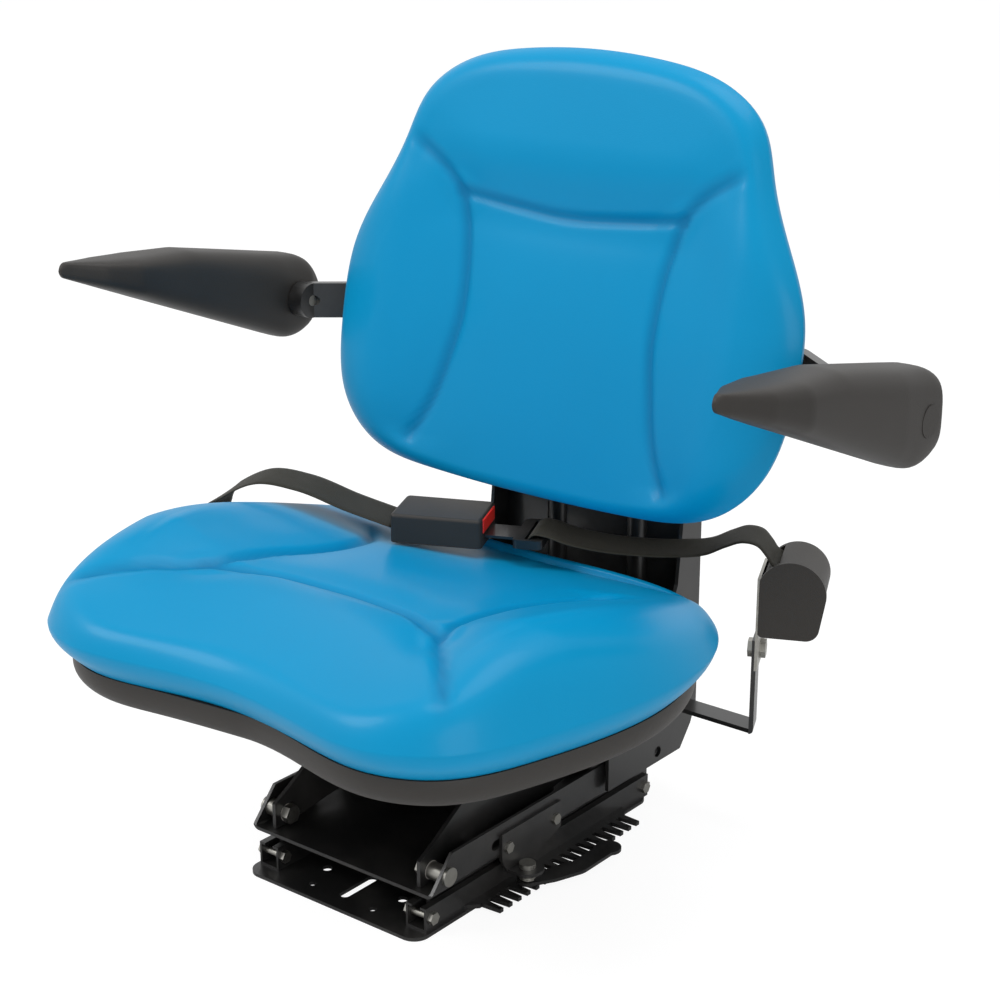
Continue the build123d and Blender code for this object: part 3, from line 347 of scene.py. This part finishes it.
def grownPlan(outline, halfWidth, low, high, grow):
    middle = (low + high) / 2
    half = (high - low) / 2
    return np.stack([outline[:, 0] * (1 + grow / halfWidth),
                     middle + (outline[:, 1] - middle) * (1 + grow / half)], 1)


def creaseLines(side, cross):
    line = openSpline(side, pressed["sideSteps"])
    return [line, line * np.array([-1, 1]), openSpline(cross, pressed["crossSteps"])]


def cushionFace(pad, rim, foot, middle, creases, faceHeight, creaseFade):
    centre = np.array([0, middle])
    reach = np.linalg.norm(rim - centre, axis=1)
    for t in np.linspace(0, 1, pressed["rings"])[:-1]:
        plan = centre + (rim - centre) * (1 - t ** pressed["crowding"])
        inward = reach * t ** pressed["crowding"]
        x, y = plan[:, 0], plan[:, 1]
        roll = np.clip(inward / pad["rollIn"], 0, 1)
        wall = foot + pad["rollUp"] * (1 - (1 - roll) ** pad["rollPower"])
        wall = wall + np.clip(inward - pad["rollIn"], 0, 1)
        height = softMin(wall, faceHeight(x, y), pad["blend"])
        fade = creaseFade(inward, y)
        apart = [lineDistance(x, y, crease) for crease in creases]
        line = sum(np.exp(-(away / pad["creaseWide"]) ** 2) for away in apart)
        valley = sum(np.exp(-(away / pad["valleyWide"]) ** 2) for away in apart)
        line = np.clip(line, 0, pressed["lineTop"]) * fade
        height = height - pad["creaseDeep"] * line
        # the crease mask is yielded too, and the vinyl skin paints it as shade in the creases
        yield plan, height - pad["valleyDeep"] * np.clip(valley, 0, pressed["valleyTop"]) * fade, line


# seat cushion: one moulded block, lower in the middle, with two wings and pressed creases
def seatCushion():
    pad = {"halfWidth": 0.247, "front": -0.271, "rear": 0.097, "recess": 0.016, "bulge": 0.016,
           "foot": 0.2074, "skirt": 0.009, "skirtIn": 0.012, "lipIn": 0.010, "wallIn": 0.001, "wallSteps": 9,
           "bulgeHeight": 0.234, "rollIn": 0.062, "rollUp": 0.068, "rollPower": 2.3, "blend": 0.024,
           "crown": 0.268, "crownAt": -0.14, "crownRoll": 0.9, "crownSlope": 0.175,
           "rise": 0.028, "riseAt": -0.1, "riseLong": 0.19, "wing": 0.185, "wingPower": 2.4,
           "edgeDrop": 0.018, "edgeLong": 0.064, "creaseDeep": 0.0042, "creaseWide": 0.0048,
           "valleyDeep": 0.004, "valleyWide": 0.026, "creaseEnd": (0.035, 0.06)}
    side = [(0.0858, -0.2662), (0.143, -0.271), (0.192, -0.249), (0.229, -0.176), (0.247, -0.040),
            (0.222, 0.032), (0.165, 0.083)]
    nose, tail = (0, pad["front"] + pad["recess"]), (0, pad["rear"])
    outline = closedSpline([nose] + side + [tail] + mirrorPoints(side), pressed["around"])
    middle = (pad["front"] + pad["rear"]) / 2
    sideCrease = [(0.205, -0.256), (0.189, -0.238), (0.156, -0.201), (0.124, -0.163), (0.117, -0.140),
                  (0.112, -0.101), (0.106, -0.054), (0.110, 0.000), (0.118, 0.028), (0.136, 0.052)]
    frontCrease = [(-0.124, -0.163), (-0.100, -0.149), (-0.060, -0.130), (0, -0.120), (0.060, -0.130),
                   (0.100, -0.149), (0.124, -0.163)]
    creases = creaseLines(sideCrease, frontCrease)

    def grown(grow):
        return grownPlan(outline, pad["halfWidth"], pad["front"], pad["rear"], grow)

    def topHeight(x, y):
        ahead = np.clip(pad["crownAt"] - y, 0, 1)
        behind = np.clip(y - pad["crownAt"], 0, 1)
        crown = pad["crown"] - ahead ** 2 / pad["crownRoll"] - pad["crownSlope"] * behind
        rise = pad["rise"] * np.exp(-((y - pad["riseAt"]) / pad["riseLong"]) ** 2)
        across = softMin((abs(x) / pad["wing"]) ** pad["wingPower"], 1.0, pressed["wingBlend"])
        edge = np.clip(abs(x) - pad["wing"], 0, 1) / pad["edgeLong"]
        return crown + rise * across - pad["edgeDrop"] * edge ** 2

    def creaseFade(inward, y):
        return easeStep(*pressed["fadeIn"], inward) * (1 - easeStep(*pad["creaseEnd"], y))

    rings = []
    shade = []

    def addRing(plan, height, tone):
        rings.append(np.column_stack([plan, height]))
        shade.append(tone)

    flat = np.zeros(pressed["around"])
    addRing(grown(-pad["skirtIn"]), flat + pad["foot"] - pad["skirt"], flat)
    addRing(grown(-pad["lipIn"]), flat + pad["foot"], flat)
    for t in np.linspace(0, 1, pad["wallSteps"])[:-1]:
        out = -pad["wallIn"] + (pad["bulge"] + pad["wallIn"]) * math.sin(t * math.pi / 2)
        addRing(grown(out), flat + pad["foot"] + (pad["bulgeHeight"] - pad["foot"]) * t, flat)
    rim = grown(pad["bulge"])
    face = cushionFace(pad, rim, pad["bulgeHeight"], middle, creases, topHeight, creaseFade)
    for plan, height, line in face:
        addRing(plan, height, line)
    low = (0, middle, pad["foot"] - pad["skirt"])
    top = (0, middle, rings[-1][:, 2].mean())
    piece = ringMesh("seatCushion", rings, low, top, finishes["blue_vinyl"], shade)
    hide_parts("seat_cushion")
    return piece


# backrest cushion, built in its leaning plane: across, up, forwards
def backCushion():
    pad = {"halfWidth": 0.241, "low": -0.004, "high": 0.379, "rearDeep": -0.022, "rearIn": 0.012,
           "rearFlat": 0.03, "wallSteps": 10, "rollIn": 0.046, "rollUp": 0.031, "rollPower": 2.6,
           "blend": 0.014, "headFrom": 0.215, "headTo": 0.30, "panel": 0.002, "panelHead": 0.013,
           "wing": 0.021, "wingHead": 0.005, "wingFoot": 0.006, "footFrom": 0.06, "footTo": -0.06,
           "panelHalf": 0.06, "wingRun": 0.12, "wingPower": 2.2, "edgeAt": 0.18, "edgeDrop": 0.014,
           "edgeLong": 0.055, "creaseDeep": 0.0036, "creaseWide": 0.0046, "valleyDeep": 0.003,
           "valleyWide": 0.024, "lean": 13.6, "origin": (0, 0.1024, 0.290)}
    side = [(0.114, -0.001), (0.190, 0.016), (0.226, 0.054), (0.241, 0.120), (0.238, 0.184),
            (0.212, 0.242), (0.190, 0.290), (0.174, 0.330), (0.139, 0.358), (0.070, 0.375)]
    foot, crest = (0, pad["low"]), (0, pad["high"])
    outline = closedSpline([foot] + side + [crest] + mirrorPoints(side), pressed["around"])
    middle = (pad["low"] + pad["high"]) / 2
    sideCrease = [(0.186, 0.296), (0.157, 0.281), (0.131, 0.263), (0.117, 0.246), (0.109, 0.222),
                  (0.102, 0.179), (0.102, 0.134), (0.107, 0.106), (0.121, 0.054), (0.138, 0.022)]
    headCrease = [(-0.117, 0.247), (-0.06, 0.241), (0, 0.237), (0.06, 0.241), (0.117, 0.247)]
    creases = creaseLines(sideCrease, headCrease)
    turn = math.radians(pad["lean"])
    up = np.array([0, math.sin(turn), math.cos(turn)])
    ahead = np.array([0, -math.cos(turn), math.sin(turn)])

    def grown(grow):
        return grownPlan(outline, pad["halfWidth"], pad["low"], pad["high"], grow)

    def placed(plan, deep):
        return (np.array(pad["origin"]) + plan[:, :1] * np.array([1.0, 0, 0]) + plan[:, 1:] * up
                + np.ravel(deep)[:, None] * ahead)

    def frontDeep(x, v):
        head = easeStep(pad["headFrom"], pad["headTo"], v)
        panel = pad["panel"] + pad["panelHead"] * head
        foot = easeStep(pad["footFrom"], pad["footTo"], v)
        wing = pad["wing"] - pad["wingHead"] * head - pad["wingFoot"] * foot
        out = np.clip(abs(x) - pad["panelHalf"], 0, 1) / pad["wingRun"]
        across = softMin(out ** pad["wingPower"], 1.0, pressed["wingBlend"])
        edge = np.clip(abs(x) - pad["edgeAt"], 0, 1) / pad["edgeLong"]
        return panel + (wing - panel) * across - pad["edgeDrop"] * edge ** 2

    def creaseFade(inward, v):
        return easeStep(*pressed["fadeIn"], inward)

    rings = []
    shade = []

    def addRing(plan, deep, tone):
        rings.append(placed(plan, deep))
        shade.append(tone)

    flat = np.zeros(pressed["around"])
    addRing(grown(-pad["rearFlat"]), flat + pad["rearDeep"], flat)
    for t in np.linspace(0, 1, pad["wallSteps"])[:-1]:
        inset = pad["rearIn"] * (1 - math.sin(t * math.pi / 2))
        addRing(grown(-inset), flat + pad["rearDeep"] * (1 - t), flat)
    for plan, deep, line in cushionFace(pad, grown(0), 0, middle, creases, frontDeep, creaseFade):
        addRing(plan, deep, line)
    rear = placed(np.array([[0, middle]]), pad["rearDeep"])[0]
    front = rings[-1].mean(0)
    piece = ringMesh("backCushion", rings, rear, front, finishes["blue_vinyl"], shade)
    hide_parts("backrest_cushion")
    return piece


for cushion in (seatCushion(), backCushion()):
    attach(cushion, "seat")
print("cushions")


# armrest: a wing-shaped foam moulding round its hinge, the hull of three circles seen from the side
def armrestPad(name, sign):
    arm = {"inner": 0.3012,
           "circles": ((0.138, 0.410, 0.040), (0.010, 0.459, 0.016), (-0.117, 0.4765, 0.007)),
           "circleSteps": 120, "stations": 90, "around": 48, "square": 3.4, "capTurn": 0.03,
           "innerAt": (-0.113, -0.087, -0.055, 0.12, 0.16),
           "innerIn": (0.027, 0.022, 0.008, 0, 0, 0.003, 0.012),
           "outerAt": (-0.113, -0.079, -0.041, 0.10, 0.16),
           "outerIn": (0.030, 0.036, 0.050, 0.0576, 0.0576, 0.055, 0.046)}
    turn = np.linspace(0, 2 * math.pi, arm["circleSteps"])
    cloud = np.concatenate([np.column_stack([y + r * np.cos(turn), z + r * np.sin(turn)])
                            for y, z, r in arm["circles"]])
    low, high = cloud[:, 0].min(), cloud[:, 0].max()
    share = 0.5 - 0.5 * np.cos(np.linspace(arm["capTurn"], math.pi - arm["capTurn"], arm["stations"]))
    along = low + (high - low) * share
    top = hullHeight(cloud, along, 1)
    bottom = hullHeight(cloud, along, -1)
    inner = np.interp(along, [low, *arm["innerAt"], high], arm["innerIn"])
    outer = np.interp(along, [low, *arm["outerAt"], high], arm["outerIn"])
    rings = []
    wheel = np.linspace(0, 2 * math.pi, arm["around"], endpoint=False)
    c, s = np.cos(wheel), np.sin(wheel)
    for i, y in enumerate(along):
        a, b = (outer[i] - inner[i]) / 2, (top[i] - bottom[i]) / 2
        x = arm["inner"] + (outer[i] + inner[i]) / 2 + a * np.sign(c) * abs(c) ** (2 / arm["square"])
        z = (top[i] + bottom[i]) / 2 + b * np.sign(s) * abs(s) ** (2 / arm["square"])
        rings.append(np.column_stack([x * sign, np.full(x.shape, y), z]))
    if sign > 0:
        rings = [ring[::-1] for ring in rings]
    return ringMesh(name, rings, rings[0].mean(0), rings[-1].mean(0), armrestSkin)


def hullHeight(cloud, along, sign):
    order = cloud[np.argsort(cloud[:, 0])]
    hull = []
    for y, z in order:
        while len(hull) > 1 and sign * ((hull[-1][0] - hull[-2][0]) * (z - hull[-2][1])
                                        - (hull[-1][1] - hull[-2][1]) * (y - hull[-2][0])) >= 0:
            hull.pop()
        hull.append((y, z))
    hull = np.array(hull)
    return np.interp(along, hull[:, 0], hull[:, 1])


for side, sign in (("left", 1), ("right", -1)):
    armrest = armrestPad("armrestPad." + side, sign)
    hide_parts("armrest_" + side)
    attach(armrest, "armrest_" + side)
print("armrests")


# flat webbing along a path, with its width direction at each point
def ribbon(name, path, across, width, thick):
    weave = {"steps": 13, "edge": 0.99, "edgeThick": 0.35}
    across = np.array(across)
    across = across / np.linalg.norm(across, axis=1)[:, None]
    along = np.gradient(path, axis=0)
    along = along / np.linalg.norm(along, axis=1)[:, None]
    across = across - along * np.sum(across * along, axis=1)[:, None]
    across = across / np.linalg.norm(across, axis=1)[:, None]
    normal = np.cross(along, across)
    steps = np.linspace(-1, 1, weave["steps"])
    section = [(s, -1.0 if abs(s) < weave["edge"] else -weave["edgeThick"]) for s in steps]
    section += [(s, -t) for s, t in reversed(section)]
    rings = [[point + wide * s * width / 2 + deep * t * thick / 2 for s, t in section]
             for point, wide, deep in zip(path, across, normal)]
    piece = ringMesh(name, rings, path[0], path[-1], finishes["black_webbing"])
    run = np.concatenate([[0], np.cumsum(np.linalg.norm(path[1:] - path[:-1], axis=1))])
    size = len(section)
    flatX = np.array([s * 0.5 + 0.5 for s, _ in section])
    layer = piece.data.uv_layers.new(name="weave")
    index = np.zeros(len(piece.data.loops), int)
    piece.data.loops.foreach_get("vertex_index", index)
    ring = np.minimum(index // size, len(path) - 1)
    uv = np.column_stack([flatX[index % size], run[ring]])
    layer.data.foreach_set("uv", uv.astype(np.float32).ravel())
    return piece, float(run[-1])


# the belt's own frame, turned about the upright through its middle
beltFrame = {"turn": 24.7, "middleY": 0.103}
beltTurn = math.radians(beltFrame["turn"])
beltWay = np.array([math.cos(beltTurn), math.sin(beltTurn), 0])
beltSide = np.array([-math.sin(beltTurn), math.cos(beltTurn), 0])


def beltPoint(u, z):
    return np.array([0, beltFrame["middleY"], 0]) + beltWay * u + np.array([0, 0, z])


# lap belt, from the tongue's slot to the retractor
def lapBelt():
    belt = {"width": 0.047, "thick": 0.0018, "samples": 150}
    way = [(0.005, 0.2465), (0.005, 0.2530), (0.0085, 0.2566), (0.020, 0.2566), (0.036, 0.2520),
           (0.066, 0.2475), (0.096, 0.2465), (0.130, 0.2480), (0.160, 0.2530), (0.176, 0.2610),
           (0.190, 0.2660), (0.202, 0.2640), (0.2105, 0.2550), (0.216, 0.2475), (0.2225, 0.2446),
           (0.229, 0.2438)]
    path = openSpline([beltPoint(u, z) for u, z in way], belt["samples"])
    piece, length = ribbon("lapBelt", path, [beltSide] * len(path), belt["width"], belt["thick"])
    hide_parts("belt_webbing")
    return piece


# buckle tether, over the cushion's wing and down to its anchor
def buckleTether():
    belt = {"width": 0.047, "thick": 0.0018, "samples": 160, "anchor": (0.205, 0.132), "tailStep": 0.012}
    wing = [(-0.1184, 0.254), (-0.160, 0.266), (-0.205, 0.281), (-0.243, 0.284), (-0.274, 0.269)]
    over = [beltPoint(u, z) for u, z in wing]
    fall = [(-0.272, -0.014, 0.248), (-0.278, -0.008, 0.224), (-0.272, 0.012, 0.188), (-0.252, 0.070, 0.160)]
    down = [np.array(point) for point in fall]
    end = beltPoint(*belt["anchor"]) * np.array([-1, 1, 1])
    run = np.array([-beltSide[0], beltSide[1], 0]) * belt["tailStep"]
    tail = [end - 3 * run, end - run, end + run]
    points = over + down + tail
    widths = [beltSide] * len(over) + [(0, 1, 0)] * (len(down) - 1) + [(0, 0.7, 0.7)]
    widths += [(0, 0, 1)] * len(tail)
    path = openSpline(points, belt["samples"])
    share = np.concatenate([[0], np.cumsum(np.linalg.norm(np.diff(np.array(points), axis=0), axis=1))])
    place = np.linspace(0, share[-1], belt["samples"])
    across = np.column_stack([np.interp(place, share, np.array(widths)[:, k]) for k in range(3)])
    piece, length = ribbon("buckleTether", path, across, belt["width"], belt["thick"])
    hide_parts("buckle_tether")
    return piece


for strap in (lapBelt(), buckleTether()):
    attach(strap, "seat")
print("belt")


# coil springs, swept along a spiral by nodes
def coilTree():
    fine = {"turnSteps": 36, "wireSteps": 12}
    tree = bpy.data.node_groups.new("coilSpring", "GeometryNodeTree")
    tree.interface.new_socket("Geometry", in_out="OUTPUT", socket_type="NodeSocketGeometry")
    for name in ("Turns", "Radius", "Height", "Wire"):
        tree.interface.new_socket(name, in_out="INPUT", socket_type="NodeSocketFloat")
    tree.interface.new_socket("Place", in_out="INPUT", socket_type="NodeSocketVector")
    tree.interface.new_socket("Finish", in_out="INPUT", socket_type="NodeSocketMaterial")
    sizes = tree.nodes.new("NodeGroupInput").outputs
    link = tree.links.new
    spiral, wire, sweep, move, real, paint, result = (tree.nodes.new(kind) for kind in (
        "GeometryNodeCurveSpiral", "GeometryNodeCurvePrimitiveCircle", "GeometryNodeCurveToMesh",
        "GeometryNodeTransform", "GeometryNodeRealizeInstances", "GeometryNodeSetMaterial",
        "NodeGroupOutput"))
    spiral.inputs["Resolution"].default_value = fine["turnSteps"]
    wire.inputs["Resolution"].default_value = fine["wireSteps"]
    sweep.inputs["Fill Caps"].default_value = True
    link(sizes["Turns"], spiral.inputs["Rotations"])
    link(sizes["Radius"], spiral.inputs["Start Radius"])
    link(sizes["Radius"], spiral.inputs["End Radius"])
    link(sizes["Height"], spiral.inputs["Height"])
    link(sizes["Wire"], wire.inputs["Radius"])
    link(spiral.outputs[0], sweep.inputs["Curve"])
    link(wire.outputs[0], sweep.inputs["Profile Curve"])
    link(sweep.outputs[0], move.inputs["Geometry"])
    link(sizes["Place"], move.inputs["Translation"])
    link(move.outputs[0], real.inputs[0])
    link(real.outputs[0], paint.inputs["Geometry"])
    link(sizes["Finish"], paint.inputs["Material"])
    link(paint.outputs[0], result.inputs[0])
    return tree


def nodePiece(name, tree, values):
    holder = bpy.data.objects.new(name, bpy.data.meshes.new(name))
    scene.collection.objects.link(holder)
    modifier = holder.modifiers.new("nodes", "NODES")
    modifier.node_group = tree
    for socket in tree.interface.items_tree:
        if socket.in_out == "INPUT":
            modifier[socket.identifier] = values[socket.name]
    made = bpy.data.meshes.new_from_object(holder.evaluated_get(bpy.context.evaluated_depsgraph_get()))
    holder.modifiers.clear()
    holder.data = made
    made.polygons.foreach_set("use_smooth", [True] * len(made.polygons))
    return holder


springWay = coilTree()
for side, sign in (("left", 1), ("right", -1)):
    coil = {"Turns": 6.5, "Radius": 0.020, "Height": 0.1215, "Wire": 0.0033,
            "Place": (0.042 * sign, 0.045, 0.0435), "Finish": finishes["spring_steel"]}
    spring = nodePiece("coilSpring." + side, springWay, coil)
    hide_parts("coil_spring_" + side)
    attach(spring, "carriage")
    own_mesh(spring)
returnCoil = {"Turns": 4.2, "Radius": 0.0065, "Height": 0.0058, "Wire": 0.0006,
              "Place": (0.111, -0.040, 0.0131), "Finish": finishes["zinc_steel"]}
leverCoil = nodePiece("leverCoil", springWay, returnCoil)
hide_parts("lever_spring")
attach(leverCoil, "carriage")
print("springs")


# floor, light and camera
def studio():
    stage = {"floor": 40.0, "floorTone": (0.93, 0.93, 0.93, 1), "floorGlow": 1.14, "glowShare": 0.8,
             "white": (1, 1, 1, 1), "worldLight": 0.5, "lampAim": (0, 0, 0.3)}
    view = {"lens": 74.5, "sensor": 36.0, "place": (1.0397, -1.2439, 0.857), "down": 18.7, "round": 38.5}
    half = stage["floor"]
    material, start, _ = startMaterial("paleFloor")
    ray = start.node("ShaderNodeLightPath", out="Is Camera Ray")
    bright = start.node("ShaderNodeEmission", {"Color": stage["white"], "Strength": stage["floorGlow"]})
    matt = start.node("ShaderNodeBsdfDiffuse", {"Color": stage["floorTone"]})
    mixed = start.node("ShaderNodeMixShader", {0: ray * stage["glowShare"], 1: matt, 2: bright})
    start.node("ShaderNodeOutputMaterial", {"Surface": mixed})
    corners = [(-half, -half, 0), (half, -half, 0), (half, half, 0), (-half, half, 0)]
    floor = meshPiece("floor", corners, [(0, 1, 2, 3)], material)
    world = bpy.data.worlds.new("studioWorld")
    scene.world = world
    world.use_nodes = True
    world.node_tree.nodes.clear()
    sky = Wire(world.node_tree)
    seen = sky.node("ShaderNodeLightPath", out="Is Camera Ray")
    shiny = sky.node("ShaderNodeLightPath", out="Is Glossy Ray")
    through = sky.node("ShaderNodeLightPath", out="Is Transmission Ray")
    shown = sky.maths("MAXIMUM", sky.maths("MAXIMUM", seen, shiny), through)
    level = shown * (1 - stage["worldLight"]) + stage["worldLight"]
    light = sky.node("ShaderNodeBackground", {"Color": stage["white"], "Strength": level})
    sky.node("ShaderNodeOutputWorld", {"Surface": light})
    lamps = {"keySoftbox": ((-1.6, -1.7, 2.3), 1.3, 34.0), "fillSoftbox": ((2.2, -1.2, 1.2), 1.4, 14.0),
             "topSoftbox": ((0.2, 0.3, 2.6), 1.6, 22.0)}
    for name, (place, size, power) in lamps.items():
        data = bpy.data.lights.new(name, "AREA")
        data.shape = "DISK"
        data.size = size
        data.energy = power
        lamp = bpy.data.objects.new(name, data)
        lamp.location = place
        aim = Vector(stage["lampAim"]) - Vector(place)
        lamp.rotation_euler = aim.to_track_quat("-Z", "Y").to_euler()
        scene.collection.objects.link(lamp)
    shot = bpy.data.cameras.new("photoCamera")
    shot.lens = view["lens"]
    shot.sensor_width = view["sensor"]
    camera = bpy.data.objects.new("photoCamera", shot)
    camera.location = view["place"]
    camera.rotation_euler = (math.radians(90 - view["down"]), 0, math.radians(view["round"]))
    scene.collection.objects.link(camera)
    scene.camera = camera


studio()
print("studio")
